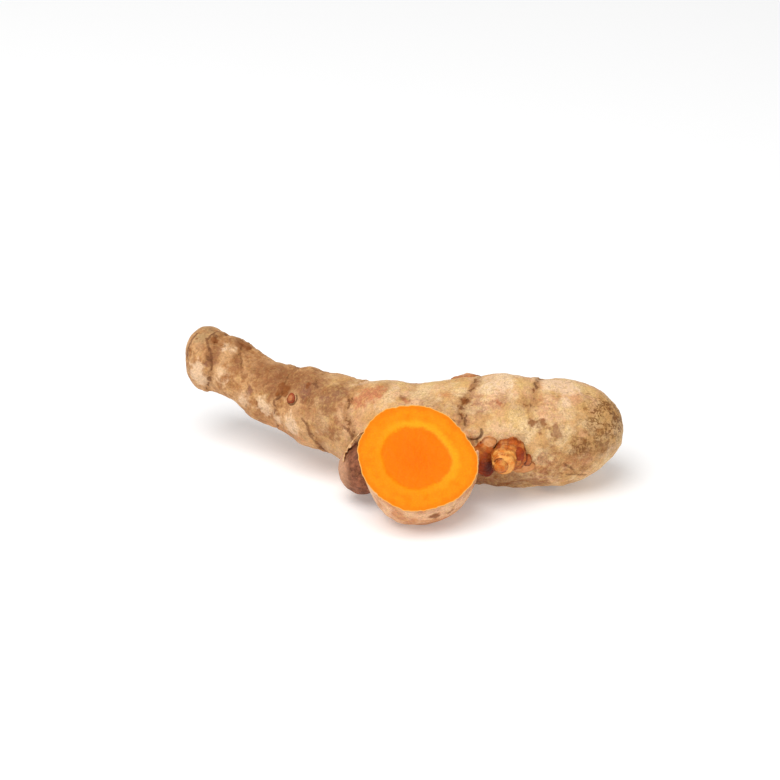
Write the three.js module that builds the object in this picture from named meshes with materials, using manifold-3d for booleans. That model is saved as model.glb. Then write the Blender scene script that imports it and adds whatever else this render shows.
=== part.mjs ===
// A fresh turmeric rhizome, lying as it does on a table. One end is thick and blunt, the other bends back
// and up off the table and is thin. A fat side finger grows to the front and is cut through with a knife.
// All of it grew as one piece, so it is one solid: body, cut finger, side lobe, buds and root scars.
//
// Millimetres. +X runs towards the thick end, -Y is the side that the cut finger grows to, +Z is up.
// The origin is on the table, under the middle of the footprint.
import * as THREE from "three";
import { mergeVertices } from "three/addons/utils/BufferGeometryUtils.js";
import Module from "manifold-3d";

const wasm = await Module();
wasm.setup();

const TAU = 2 * Math.PI;
const UP = new THREE.Vector3(0, 0, 1);
const point = (x, y, z) => new THREE.Vector3(x, y, z);
const bell = (x, width) => Math.exp(-((x / width) ** 2));
const sumOf = (values) => values.reduce((sum, value) => sum + value, 0);

// Driving dimensions

// Stations of a midline are [x, y, z, radius of the flesh there].
const BODY = {
  stations: [
    [-49.4, 27.8, 19.3, 7.7],
    [-42.2, 23.6, 18.9, 7.4],
    [-35.8, 19.6, 16.8, 6.7],
    [-30.6, 16.0, 15.1, 7.0],
    [-23.4, 11.0, 14.2, 8.4],
    [-13.3, 4.5, 13.7, 9.4],
    [-2.0, 0.8, 11.8, 11.7],
    [10.3, 0.0, 12.2, 12.1],
    [22.0, 0.0, 12.6, 12.8],
    [32.0, 0.0, 12.7, 12.5],
    [49.0, 0.0, 13.6, 12.4],
  ],
  startCap: 6.5, // length over which each end rounds off to its pole
  endCap: 19.5,
  rings: [
    // leaf scars: distance from the thin end at each eighth of a turn, from the top towards the front
    [7.2, 8.0, 9.7, 7.6, 6.6, 7.8, 8.6, 7.4],
    [12.4, 15.6, 18.6, 18.2, 16.4, 14.6, 13.0, 12.2],
    [27.6, 29.6, 29.6, 29.8, 28.2, 26.0, 25.6, 26.6],
    [36.6, 38.0, 39.2, 41.8, 40.6, 37.4, 35.4, 35.6],
    [45.6, 45.6, 49.6, 51.2, 50.4, 47.6, 45.2, 45.0],
    [60.0, 58.2, 57.4, 58.4, 61.0, 62.8, 62.4, 61.4],
    [74.5, 70.6, 75.4, 74.2, 72.6, 74.0, 75.6, 75.8],
    [87.6, 86.0, 91.4, 90.4, 88.2, 86.8, 88.4, 88.8],
  ],
  sides: 34,
  spacing: 1.9, // largest distance between two rows of points
};

// The cut finger swells from a neck in the body's flank to a knob, and the knife went through the knob.
const NECK = {
  stations: [
    [-0.5, 2.0, 10.6, 9.0],
    [1.2, -6.0, 10.6, 10.4],
    [3.0, -14.5, 12.4, 12.2],
  ],
  startCap: 5,
  endCap: 9,
  rings: [],
  sides: 30,
  spacing: 2.6,
};
const CUT_CENTRE = point(2.4, -20.3, 15.2);
const CUT_NORMAL = point(0.084, -0.591, 0.802).normalize();
const KNOB_RADIUS = 13.0;
const KNOB_BELOW_CUT = 3.3; // from the cut face down to where the knob starts to round off
const KNOB_CAP = 12.8; // from there to its hidden pole
const KNOB_RING = [8.6, 9.2, 8.3, 8.0, 8.8, 9.4, 9.0, 8.2]; // a faint leaf scar, this far up from that pole
const KNOB_LEAN = 6; // how far the pole lies towards +X from straight below the cut
const KNOB_OUT_OF_ROUND = [0.3, 0.1, -0.4, -1.1, -0.2, -0.1, -0.3, 0.2]; // at each eighth of a turn

// A blunt dormant lobe beside the neck.
const LOBE = {
  stations: [
    [-1.5, -3.5, 10.2, 5.6],
    [-6.0, -7.6, 8.9, 6.2],
    [-13.4, -13.6, 6.7, 6.4],
  ],
  startCap: 4,
  endCap: 6.4,
  rings: [[7.4, 7.9, 7.6, 7.0, 6.8, 7.2, 7.6, 7.4]],
  sides: 20,
  spacing: 1.8,
};

// Buds sit on the body at [distance along the body, angle from the top towards the front in degrees].
const FRONT_BUD = { at: [78.2, 92], sink: 0, size: 1.1, flatten: 0.76, lean: [-0.25, -0.3] };
const BACK_BUD = { at: [71.0, -42], sink: 1.1, size: 0.66, flatten: 0.9, lean: [0.2, 0] };
const SMALL_BUD = { at: [32.0, 55], sink: 0, size: 0.3, flatten: 1.4, lean: [0, 0] };
const BUD_PROFILE = [
  // [radius, height above the skin]: three scales, one inside the other, and the growing tip
  [0, -3.5],
  [5.8, -3.5],
  [5.9, -0.1],
  [5.2, 0.75],
  [4.1, 0.7],
  [3.8, 1.9],
  [3.1, 2.5],
  [2.5, 2.2],
  [2.1, 3.4],
  [1.2, 4.3],
  [0, 4.6],
];

// Root scars: small nubs in a row beside each ring, mostly below and behind.
const ROOT_NUB = { radius: 1.5, height: 0.8 };
const ROOT_NUBS = [
  [73.2, 67],
  [60.5, 205],
  [68.5, 248],
  [83.0, 232],
  [90.5, 268],
  [47.0, 250],
  [36.5, 215],
  [19.0, 262],
];

// Surface relief

// Slow swellings of the flesh: crossing waves, each with its pitch and height in mm.
const SWELLINGS = [
  { pitch: 21, height: 0.42, run: point(0.74, 0.55, 0.38), phase: 0.6 },
  { pitch: 15, height: 0.34, run: point(-0.35, 0.84, 0.42), phase: 2.1 },
  { pitch: 9.5, height: 0.2, run: point(0.52, -0.31, 0.8), phase: 4.0 },
  { pitch: 6.2, height: 0.1, run: point(0.83, 0.49, -0.27), phase: 1.3 },
];
const swelling = (p) =>
  sumOf(SWELLINGS.map((s) => s.height * Math.sin((TAU * p.dot(s.run)) / s.pitch + s.phase)));

// A smooth curve round a limb through values that are given at each eighth of a turn.
function aroundLimb(values, angle) {
  const eighths = values.length * THREE.MathUtils.euclideanModulo(angle / TAU, 1);
  const i = Math.floor(eighths);
  const t = eighths - i;
  const [before, from, to, after] = [-1, 0, 1, 2].map((step) => values.at((i + step) % values.length));
  const bend = 2 * before - 5 * from + 4 * to - after + t * (3 * (from - to) + after - before);
  return from + 0.5 * t * (to - before + t * bend);
}
const middleOf = (ring) => sumOf(ring) / ring.length;

// The ring itself: a shallow waist with a raised lip in it, which fades out on some arcs.
const WAIST = { depth: 0.6, width: 2.4 };
const LIP = { height: 0.75, width: 0.6 };
function ringRelief(number, away, angle) {
  const strength = 0.55 + 0.35 * Math.sin(2 * angle + 2.3 * number) + 0.25 * Math.sin(3 * angle + 4.1 * number);
  const lip = LIP.height * Math.max(0.1, strength) * bell(away, LIP.width);
  return lip - WAIST.depth * bell(away, WAIST.width);
}

// Limbs

// A limb is a round skin about a curved midline. skin(distance, angle) is a point of it, where angle 0 is
// the top and a quarter turn is the limb's right-hand side, seen from its start.
function limb({ stations, startCap, endCap, rings, calm = 1 }, extraRelief = () => 0) {
  const midline = new THREE.CatmullRomCurve3(stations.map(([x, y, z]) => point(x, y, z)));
  const stepsPerStation = 100;
  const lengths = midline.getLengths(stepsPerStation * (stations.length - 1));
  const distances = stations.map((_, i) => lengths[stepsPerStation * i]);
  const radii = stations.map((station) => station[3]);
  const thickness = new THREE.CubicInterpolant(distances, radii, 1);
  const length = midline.getLength();

  const roundOff = (distance) => {
    const start = Math.min(1, distance / startCap);
    const end = Math.min(1, (length - distance) / endCap);
    return Math.sqrt(Math.max(0, 1 - (1 - start) ** 2)) * Math.sqrt(Math.max(0, 1 - (1 - end) ** 2));
  };

  function frame(distance) {
    const share = THREE.MathUtils.clamp(distance / length, 0, 1);
    const forward = midline.getTangentAt(share);
    const right = forward.clone().cross(UP).normalize();
    return { centre: midline.getPointAt(share), forward, right, top: right.clone().cross(forward) };
  }

  function skin(distance, angle) {
    const nearEnd = roundOff(distance);
    const moved = rings.map((ring) => {
      const middle = middleOf(ring);
      return (aroundLimb(ring, angle) - middle) * bell(distance - middle, 4.6);
    });
    const along = THREE.MathUtils.clamp(distance + nearEnd * sumOf(moved), 0, length);
    const { centre, right, top } = frame(along);
    const outward = top.multiplyScalar(Math.cos(angle)).addScaledVector(right, Math.sin(angle));
    const radius = thickness.evaluate(along)[0] * roundOff(along);
    const flesh = centre.clone().addScaledVector(outward, radius);
    const scars = rings.map((ring, number) => ringRelief(number, distance - middleOf(ring), angle));
    const relief = calm * (swelling(flesh) + sumOf(scars)) + extraRelief(along, angle);
    return flesh.addScaledVector(outward, relief * nearEnd);
  }

  function outwardAt(distance, angle) {
    const { right, top } = frame(distance);
    return top.multiplyScalar(Math.cos(angle)).addScaledVector(right, Math.sin(angle));
  }

  return { length, frame, skin, outwardAt };
}

// Distances of a limb's rows of points: close together at the round ends and at the rings.
function rowsOf({ startCap, endCap, rings, spacing }, length) {
  const capRows = 6;
  const lipRows = [-2.6, -1.1, -0.45, 0, 0.5, 1.3, 2.8];
  const marks = [];
  for (let i = 1; i <= capRows; i++) {
    const share = 1 - Math.cos((i / capRows) * (Math.PI / 2));
    marks.push(startCap * share, length - endCap * share);
  }
  for (const ring of rings) marks.push(...lipRows.map((offset) => middleOf(ring) + offset));
  const sorted = marks.filter((mark) => mark > 0.1 && mark < length - 0.1).sort((a, b) => a - b);
  const spread = sorted.filter((mark, i) => i === 0 || mark - sorted[i - 1] > 0.3);
  return spread.flatMap((mark, i) => {
    const gap = (spread[i + 1] ?? mark) - mark;
    const parts = Math.max(1, Math.ceil(gap / spacing));
    return Array.from({ length: parts }, (_, k) => mark + (gap * k) / parts);
  });
}

// The closed mesh of a limb: rows of points, with one pole at each end.
function limbGeometry(spec, made) {
  const rows = rowsOf(spec, made.length);
  const { sides } = spec;
  const points = [made.skin(0, 0)];
  for (const distance of rows)
    for (let i = 0; i < sides; i++) points.push(made.skin(distance, (TAU * i) / sides));
  points.push(made.skin(made.length, 0));
  const index = [];
  const at = (row, side) => 1 + row * sides + (side % sides);
  for (let i = 0; i < sides; i++) {
    index.push(0, at(0, i + 1), at(0, i));
    for (let row = 0; row + 1 < rows.length; row++) {
      index.push(at(row, i), at(row + 1, i + 1), at(row + 1, i));
      index.push(at(row, i), at(row, i + 1), at(row + 1, i + 1));
    }
    index.push(at(rows.length - 1, i), at(rows.length - 1, i + 1), points.length - 1);
  }
  return new THREE.BufferGeometry().setFromPoints(points).setIndex(index);
}

// Solids

function solidOf(geometry) {
  const bare = geometry.clone();
  bare.deleteAttribute("normal");
  bare.deleteAttribute("uv");
  const merged = mergeVertices(bare, 1e-4);
  const solid = new wasm.Manifold(
    new wasm.Mesh({
      numProp: 3,
      vertProperties: new Float32Array(merged.attributes.position.array),
      triVerts: new Uint32Array(merged.index.array),
    }),
  );
  if (solid.volume() <= 0) throw new Error("a piece is inside out");
  return solid;
}

function geometryOf(solid) {
  const mesh = solid.getMesh();
  const geometry = new THREE.BufferGeometry();
  geometry.setAttribute("position", new THREE.BufferAttribute(mesh.vertProperties, 3));
  geometry.setIndex(new THREE.BufferAttribute(mesh.triVerts, 1));
  geometry.computeVertexNormals();
  return geometry;
}

// A block whose one face lies in the plane through `through`. The block is on the side that `normal` points to.
function halfSpace(through, normal, size = 200) {
  const block = new THREE.BoxGeometry(size, size, size);
  block.applyQuaternion(new THREE.Quaternion().setFromUnitVectors(UP, normal));
  block.translate(...through.clone().addScaledVector(normal, size / 2));
  return solidOf(block);
}

// The body swells under the finger and under the front bud, as the flesh does where something grows out.
function bodyRelief(distance, angle) {
  const turn = (centre) => Math.atan2(Math.sin(angle - centre), Math.cos(angle - centre));
  const underFinger = 1.3 * bell(distance - 56, 9) * bell(turn(1.9), 0.9);
  const underBud = 0.7 * bell(distance - 79, 7) * bell(turn(1.65), 0.6);
  return underFinger + underBud;
}

function knobSolid() {
  const pole = CUT_CENTRE.clone().addScaledVector(CUT_NORMAL, -KNOB_BELOW_CUT - KNOB_CAP);
  pole.x += KNOB_LEAN;
  const beyond = CUT_CENTRE.clone().addScaledVector(CUT_NORMAL, KNOB_CAP);
  const spec = {
    stations: [pole, CUT_CENTRE, beyond].map((p) => [p.x, p.y, p.z, KNOB_RADIUS]),
    startCap: KNOB_CAP,
    endCap: KNOB_CAP * 0.9,
    rings: [KNOB_RING],
    sides: 36,
    spacing: 1.9,
    calm: 0.65,
  };
  const outOfRound = (distance, angle) => aroundLimb(KNOB_OUT_OF_ROUND, angle);
  const whole = solidOf(limbGeometry(spec, limb(spec, outOfRound)));
  return whole.subtract(halfSpace(CUT_CENTRE, CUT_NORMAL));
}

function onBody(body, [distance, degrees], sink) {
  const angle = THREE.MathUtils.degToRad(degrees);
  const outward = body.outwardAt(distance, angle);
  const place = body.skin(distance, angle).addScaledVector(outward, -sink);
  return { place, outward, forward: body.frame(distance).forward };
}

// Puts a shape that grows along its own Y on the body, with its X along the body.
function grow(geometry, { place, outward, forward }) {
  const across = forward.clone().cross(outward).normalize();
  const along = across.clone().cross(outward);
  const basis = new THREE.Matrix4().makeBasis(along, outward, across.negate());
  return geometry.applyMatrix4(basis).translate(place.x, place.y, place.z);
}

function budSolid(body, { at, sink, size, flatten, lean }) {
  const profile = BUD_PROFILE.map(([radius, height]) => new THREE.Vector2(radius * size, height * size));
  const bud = new THREE.LatheGeometry(profile, 22);
  const lying = bud.attributes.position;
  for (let i = 0; i < lying.count; i++) {
    const rise = Math.max(0, lying.getY(i));
    lying.setX(i, lying.getX(i) + lean[0] * rise);
    lying.setZ(i, (lying.getZ(i) + lean[1] * rise) * flatten);
  }
  return solidOf(grow(bud, onBody(body, at, sink)));
}

function rootNubSolid(body, at, i) {
  const { radius, height } = ROOT_NUB;
  const size = 0.75 + 0.25 * Math.sin(3.1 * i);
  const nub = new THREE.SphereGeometry(radius * size, 10, 6).scale(1, (2.2 * height) / radius, 1);
  return solidOf(grow(nub, onBody(body, at, height * 0.6)));
}

// The rhizome

const body = limb(BODY, bodyRelief);
const pieces = [
  solidOf(limbGeometry(BODY, body)),
  solidOf(limbGeometry(NECK, limb(NECK))).subtract(halfSpace(CUT_CENTRE, CUT_NORMAL)),
  knobSolid(),
  solidOf(limbGeometry(LOBE, limb(LOBE))),
  ...[FRONT_BUD, BACK_BUD, SMALL_BUD].map((bud) => budSolid(body, bud)),
  ...ROOT_NUBS.map((at, i) => rootNubSolid(body, at, i)),
];
const grown = pieces.reduce((whole, piece) => whole.add(piece));
const table = halfSpace(point(0, 0, 0), point(0, 0, -1));

const skinAndCut = geometryOf(grown.subtract(table));
skinAndCut.computeBoundingBox();
const footprintMiddle = skinAndCut.boundingBox.getCenter(point(0, 0, 0));
skinAndCut.translate(-footprintMiddle.x, -footprintMiddle.y, 0);

const rhizome = new THREE.Mesh(
  skinAndCut,
  new THREE.MeshStandardMaterial({ color: 0xc9a173, roughness: 0.72, metalness: 0 }),
);
rhizome.name = "turmeric_rhizome";

const turmeric = new THREE.Group();
turmeric.add(rhizome);
export default turmeric;
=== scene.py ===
import math

import bmesh
import bpy
import numpy as np
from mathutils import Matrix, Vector, noise


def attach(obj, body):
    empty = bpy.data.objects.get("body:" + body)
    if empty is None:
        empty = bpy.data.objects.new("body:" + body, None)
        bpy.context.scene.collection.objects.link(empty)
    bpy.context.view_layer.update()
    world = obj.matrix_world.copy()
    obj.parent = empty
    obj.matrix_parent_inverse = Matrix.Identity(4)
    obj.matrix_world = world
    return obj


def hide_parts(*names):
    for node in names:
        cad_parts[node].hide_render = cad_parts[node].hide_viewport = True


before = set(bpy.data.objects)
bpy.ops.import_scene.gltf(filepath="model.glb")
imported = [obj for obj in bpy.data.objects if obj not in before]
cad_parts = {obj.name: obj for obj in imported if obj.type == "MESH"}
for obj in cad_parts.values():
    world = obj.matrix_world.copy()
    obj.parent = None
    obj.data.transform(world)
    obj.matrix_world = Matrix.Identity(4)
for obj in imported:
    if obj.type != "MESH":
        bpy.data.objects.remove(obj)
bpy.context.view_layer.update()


# The rhizome: a swollen underground stem of soft flesh in a thin skin, with its cut side finger and its lobe.
# It grew in one piece, so it stays one closed mesh. Its facets are melted into even skin, and the knife's
# cut through the finger is made again on the fine mesh, so that its rim is crisp.
MM = 0.001
GRAIN = 0.40 * MM  # size of the fine mesh's squares
SHIFT = Vector((0.85, -0.235, 0.0))  # from the frame of the midline's stations to the frame of the part
CUT_CENTRE = (Vector((2.4, -20.3, 15.2)) + SHIFT) * MM
CUT_NORMAL = Vector((0.084, -0.591, 0.802)).normalized()
FLUSH = 0.25 * MM  # a face this near the plane of the cut lies in it
SPARE_END = 3  # how far in mm the finger is drawn out past the cut, before the knife goes through
FINGER_END = 15.6 * MM  # all faces this near the middle of the cut belong to the end of the finger

bpy.ops.object.select_all(action="DESELECT")
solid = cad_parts["turmeric_rhizome"]
solid.select_set(True)
bpy.context.view_layer.objects.active = solid
bpy.ops.object.duplicate()
rhizome = bpy.context.active_object
rhizome.name = "rhizome_skin_and_flesh"
rhizome.parent = None
for label in [key for key in rhizome.keys() if key.startswith("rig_")]:
    del rhizome[label]
rhizome.data.materials.clear()


def on_cut(face):
    """True for a face that lies in the plane of the knife's cut."""
    off = (face.calc_center_median() - CUT_CENTRE).dot(CUT_NORMAL)
    return abs(off) < FLUSH and face.normal.dot(CUT_NORMAL) > 0.99


bpy.ops.object.mode_set(mode="EDIT")
bpy.ops.mesh.select_all(action="SELECT")
bpy.ops.mesh.remove_doubles(threshold=1e-6)
bpy.ops.mesh.select_all(action="DESELECT")
mesh = bmesh.from_edit_mesh(rhizome.data)
mesh.faces.ensure_lookup_table()
for face in mesh.faces:
    face.select_set(on_cut(face))
bmesh.update_edit_mesh(rhizome.data)
bpy.ops.mesh.extrude_region_move(TRANSFORM_OT_translate={"value": CUT_NORMAL * SPARE_END * MM})
bpy.ops.object.mode_set(mode="OBJECT")

melt = rhizome.modifiers.new("Melt", "REMESH")
melt.mode = "VOXEL"
melt.voxel_size = GRAIN
bpy.ops.object.modifier_apply(modifier=melt.name)
ease = rhizome.modifiers.new("Ease", "SMOOTH")
ease.factor = 0.5
ease.iterations = 8
bpy.ops.object.modifier_apply(modifier=ease.name)

bpy.ops.object.mode_set(mode="EDIT")
bpy.ops.mesh.select_all(action="DESELECT")
mesh = bmesh.from_edit_mesh(rhizome.data)
for face in mesh.faces:
    face.select_set((face.calc_center_median() - CUT_CENTRE).length < FINGER_END)
bmesh.update_edit_mesh(rhizome.data)
bpy.ops.mesh.bisect(
    plane_co=CUT_CENTRE, plane_no=CUT_NORMAL, use_fill=True, clear_outer=True, threshold=1e-7
)
bpy.ops.mesh.select_all(action="DESELECT")
bpy.ops.object.mode_set(mode="OBJECT")


# The rhizome's skin as it grew: torn leaf-scar rings, lengthwise wrinkles, a scabby blunt tip and old scars.
# Each point is known by its distance in mm along the midline and its angle in degrees round it, from the
# top towards the side of the cut finger, and is raised or sunk there.
SKY = (0, 0, 1)

# A station on a midline: its place, and how far the skin is from it there.
BODY_STATIONS = [
    (-49.4, 27.8, 19.3, 7.7), (-42.2, 23.6, 18.9, 7.4), (-35.8, 19.6, 16.8, 6.7), (-30.6, 16.0, 15.1, 7.0),
    (-23.4, 11.0, 14.2, 8.4), (-13.3, 4.5, 13.7, 9.4), (-2.0, 0.8, 11.8, 11.7), (10.3, 0.0, 12.2, 12.1),
    (22.0, 0.0, 12.6, 12.8), (32.0, 0.0, 12.7, 12.5), (49.0, 0.0, 13.6, 12.4),
]
LOBE_STATIONS = [(-1.5, -3.5, 10.2, 5.6), (-6.0, -7.6, 8.9, 6.2), (-13.4, -13.6, 6.7, 6.4)]
KNOB_RADIUS = 13.0
KNOB_LENGTH = 16.1
KNOB_LEAN = 6.0
KNOB_SHOULDER = 12.8  # up to this height the finger's base is rounded like a ball
KNOB_BACK = -8.5  # the finger's own skin stays in front of this place across the part

# How far each kind of unevenness lifts or sinks the skin, in mm.
LUMP_RISE, PEBBLE_RISE, PIMPLE_RISE = 0.18, 0.07, 0.04
WRINKLE_RISE, FOLD_RISE, CREASE_DEPTH = 0.10, 0.26, 0.22
LIP_RISE, GROOVE_DEPTH, TORN_RISE = 0.26, 0.3, 0.16
SCAB_DEPTH, TIP_SWELLING, THICK_SWELLING, CORNER_RISE = 0.26, 0.5, 0.55, 1.6
THIN_END_CORNER = (-47.2, 27.2, 25.2)

# A ring: its distance from the thin end, and how dark and torn it is, at each eighth of a turn.
RINGS = [
    ((7.2, 8.0, 9.7, 7.6, 6.6, 7.8, 8.6, 7.4), (0.8, 0.6, 0.9, 0.6, 0.4, 0.5, 0.7, 0.4)),
    ((12.4, 15.6, 21.0, 19.6, 16.4, 14.6, 13.0, 12.2), (0.4, 0.3, 0.2, 0.3, 0.4, 0.5, 0.3, 0.4)),
    ((27.6, 29.6, 29.6, 29.8, 28.2, 26.0, 25.6, 26.6), (0.3, 0.6, 0.5, 0.5, 0.4, 0.5, 0.6, 0.4)),
    ((36.6, 38.0, 39.2, 41.8, 40.6, 37.4, 35.4, 35.6), (0.5, 0.2, 0.4, 0.7, 0.5, 0.6, 0.4, 0.6)),
    ((45.6, 45.6, 49.6, 51.2, 50.4, 47.6, 45.2, 45.0), (0.5, 0.9, 1.0, 0.6, 0.4, 0.5, 0.7, 0.6)),
    ((60.0, 58.2, 57.4, 58.4, 61.0, 62.8, 62.4, 61.4), (0.2, 0.3, 0.4, 0.3, 0.5, 0.6, 0.3, 0.3)),
    ((74.2, 70.6, 75.4, 74.2, 72.6, 74.0, 75.6, 75.8), (1.0, 1.0, 0.3, 0.3, 0.5, 0.8, 0.6, 0.5)),
    ((87.6, 86.0, 91.4, 90.4, 88.2, 86.8, 88.4, 88.8), (1.0, 0.2, 0.1, 0.2, 0.5, 0.4, 0.7, 0.6)),
]


def midline(stations):
    """A smooth line through stations: its points, distances, directions and thickness."""
    posts = np.array([station[:3] for station in stations], float)
    radii = [station[3] for station in stations]
    posts = np.vstack([2 * posts[0] - posts[1], posts, 2 * posts[-1] - posts[-2]])
    knots = np.sqrt(np.linalg.norm(np.diff(posts, axis=0), axis=1))
    runs, marks = [], [0]
    for i in range(1, len(posts) - 2):
        a, b, c, d = posts[i - 1:i + 3]
        before, here, after = knots[i - 1:i + 2]
        leave = ((b - a) / before - (c - a) / (before + here) + (c - b) / here) * here
        arrive = ((c - b) / here - (d - b) / (here + after) + (d - c) / after) * here
        t = np.linspace(0, 1, 60, endpoint=i == len(posts) - 3)[:, None]
        squared = (3 * (c - b) - 2 * leave - arrive) * t**2
        cubed = (2 * (b - c) + leave + arrive) * t**3
        runs.append(b + leave * t + squared + cubed)
        marks.append(marks[-1] + len(runs[-1]))
    points = np.vstack(runs)
    distances = np.r_[0, np.cumsum(np.linalg.norm(np.diff(points, axis=0), axis=1))]
    forward = np.gradient(points, distances, axis=0)
    forward /= np.linalg.norm(forward, axis=1)[:, None]
    marks[-1] -= 1
    thickness = np.interp(distances, distances[marks], radii)
    return points + np.array(SHIFT), distances, forward, thickness


def right_and_top(ahead):
    """The level direction across a limb and the direction up from it, where the limb runs ahead."""
    right = np.cross(ahead, SKY)
    right /= np.linalg.norm(right, axis=1)[:, None]
    return right, np.cross(right, ahead)


def limb_coordinates(places, line):
    """Distance along a limb, angle round it, distance from its midline, and how far outside its flesh."""
    points, distances, forward, thickness = line
    nearest = np.concatenate([
        ((chunk[:, None, :] - points[None]) ** 2).sum(2).argmin(1) for chunk in np.array_split(places, 40)
    ])
    away = places - points[nearest]
    step = (away * forward[nearest]).sum(1)
    along = distances[nearest] + np.clip(step, -0.3, 0.3)
    right, top = right_and_top(forward[nearest])
    angle = np.degrees(np.arctan2((away * right).sum(1), (away * top).sum(1)))
    off = np.linalg.norm(away, axis=1)
    return along, angle, off, off - np.interp(along, distances, thickness)


def around_limb(values, angle):
    """A smooth curve round a limb through values that are given at each eighth of a turn."""
    eighths = (angle / 45) % 8
    i = np.floor(eighths).astype(int)
    t = eighths - i
    before, start, end, after = (np.take(values, (i + step) % 8) for step in (-1, 0, 1, 2))
    bend = 2 * before - 5 * start + 4 * end - after + t * (3 * (start - end) + after - before)
    return start + 0.5 * t * (end - before + t * bend)


def ripple(places, size, seed=0):
    """Even random swelling between about -1 and 1, with lumps of a size in mm."""
    shifted = places / size + np.array((17.3, -5.1, 9.7)) * seed
    return np.array([noise.noise(Vector(place)) for place in shifted]) * 1.6


def along_line(s, distances, values):
    """Values with three parts each, such as points, read off between the distances of a line."""
    return np.stack([np.interp(s, distances, values[:, i]) for i in range(3)], axis=1)


def degrees_from(angle, middle):
    """How far an angle round a limb lies from another, from -180 to 180."""
    return (angle - middle + 180) % 360 - 180


def mm_per_degree(s):
    """How far one degree round the body is on its skin, at a distance along it."""
    return np.interp(s, body_distances, body_thickness) * math.radians(1)


def spot(along, angle, at, size):
    """1 at a place of the body's skin, falling off over a size along it and round it."""
    turn = degrees_from(angle, at[1])
    reach = mm_per_degree(at[0])
    return np.exp(-((along - at[0]) / size[0]) ** 2 - (turn * reach / size[1]) ** 2)


def read_points(piece, what="co"):
    """The places of a piece's points in metres, or their outward directions with what="normal"."""
    numbers = np.empty(len(piece.data.vertices) * 3)
    piece.data.vertices.foreach_get(what, numbers)
    return numbers.reshape(-1, 3)


def move_points(piece, places):
    """Put a piece's points at places given in mm."""
    piece.data.vertices.foreach_set("co", (places * MM).ravel())
    piece.data.update()


body_line = midline(BODY_STATIONS)
body_points, body_distances, body_forward, body_thickness = body_line
lobe_line = midline(LOBE_STATIONS)

count = len(rhizome.data.vertices)
places = read_points(rhizome) / MM
outward = read_points(rhizome, "normal")

knife = np.array(CUT_NORMAL)
cut_centre = np.array(CUT_CENTRE) / MM
below_cut = -(places - cut_centre) @ knife
near_cut = np.clip(1 - below_cut / 1.2, 0, 1)[:, None]
outward = outward - near_cut * (outward @ knife)[:, None] * knife
outward /= np.maximum(np.linalg.norm(outward, axis=1), 1e-6)[:, None]

along, angle, off, outside = limb_coordinates(places, body_line)
lobe_along, lobe_angle, lobe_off, outside_lobe = limb_coordinates(places, lobe_line)
pole = cut_centre - KNOB_LENGTH * knife + np.array((KNOB_LEAN, 0, 0))
axis = (cut_centre - pole) / np.linalg.norm(cut_centre - pole)
from_pole = places - pole
up_knob = from_pole @ axis
outside_knob = np.linalg.norm(from_pole - up_knob[:, None] * axis, axis=1) - KNOB_RADIUS
outside_ball = np.linalg.norm(places - (pole + KNOB_SHOULDER * axis), axis=1) - KNOB_RADIUS
outside_knob = np.where(up_knob < KNOB_SHOULDER, outside_ball, outside_knob)
outside_knob += 3.0 * (places[:, 1] > KNOB_BACK)

# The skin is levelled where a bud stands on it: the bud's place, and its reach along the body and round it.
from_midline = places - along_line(along, body_distances, body_points)
from_midline /= np.linalg.norm(from_midline, axis=1)[:, None]
BUDS = {
    "front": ((79.2, 90.0), (7.8, 6.0)),
    "back": ((71.7, -42.0), (4.6, 4.0)),
    "slim": ((33.0, 56.0), (2.2, 2.4)),
}
bud_level = {}
levelled = np.zeros(count)
for name, (at, size) in BUDS.items():
    turn = degrees_from(angle, at[1])
    share = np.hypot((along - at[0]) / size[0], turn * mm_per_degree(at[0]) / size[1])
    rim = (share > 1.25) & (share < 1.6) & (outside_knob > 1.5) & (outside_lobe > 1.5)
    bud_level[name] = float(np.median(outside[rim]))
    flat = np.clip((1.3 - share) / 0.3, 0, 1) * np.clip((outside_knob - 0.3) / 0.8, 0, 1)
    places += (flat * (bud_level[name] - outside))[:, None] * from_midline
    outside += flat * (bud_level[name] - outside)
    levelled = np.maximum(levelled, flat)
outward += levelled[:, None] * (from_midline - outward)
outward /= np.linalg.norm(outward, axis=1)[:, None]

on_knob = np.clip(0.5 + (outside - outside_knob) / 1.6, 0, 1)
on_lobe = np.clip(0.5 + (np.minimum(outside, outside_knob) - outside_lobe) / 1.2, 0, 1) * (lobe_along > 5.5)
on_knob = on_knob * (1 - on_lobe)
on_body = (1 - on_knob) * (1 - on_lobe)

grown_along = np.where(on_lobe > 0.5, lobe_along, along)
grown_off = np.where(on_lobe > 0.5, lobe_off, off)
grown_round = np.radians(np.where(on_lobe > 0.5, lobe_angle, angle))
unbent = np.stack(
    [grown_along / 5, grown_off * np.sin(grown_round), grown_off * np.cos(grown_round)], axis=1
)

jag = 0.55 * ripple(places, 2.6, 1) + 0.3 * ripple(places, 1.1, 2)
ring_away = np.full(count, 9.0)
ring_dark = np.zeros(count)
for place, dark in RINGS:
    away = along - around_limb(place, angle) + jag
    nearer = np.abs(away) < np.abs(ring_away)
    ring_away = np.where(nearer, away, ring_away)
    ring_dark = np.where(nearer, around_limb(dark, angle), ring_dark)
on_nub = np.clip(1.6 * spot(along, angle, (72.8, 64.5), (1.8, 1.6)), 0, 1)
ring_dark = np.clip(ring_dark, 0.15, 1) * on_body * (1 - on_nub)

lump = ripple(places, 5.0, 3)
pebble = ripple(places, 1.9, 4)
pimple = ripple(places, 0.95, 5)
wrinkle = 1 - np.abs(ripple(unbent, 1.15, 6))
slim_half = np.clip((62 - along) / 30, 0.25, 1)
blunt_tip = np.clip((along - 93) / 8, 0, 1) * np.clip(1.3 - np.abs(angle - 45) / 110, 0, 1)

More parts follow.
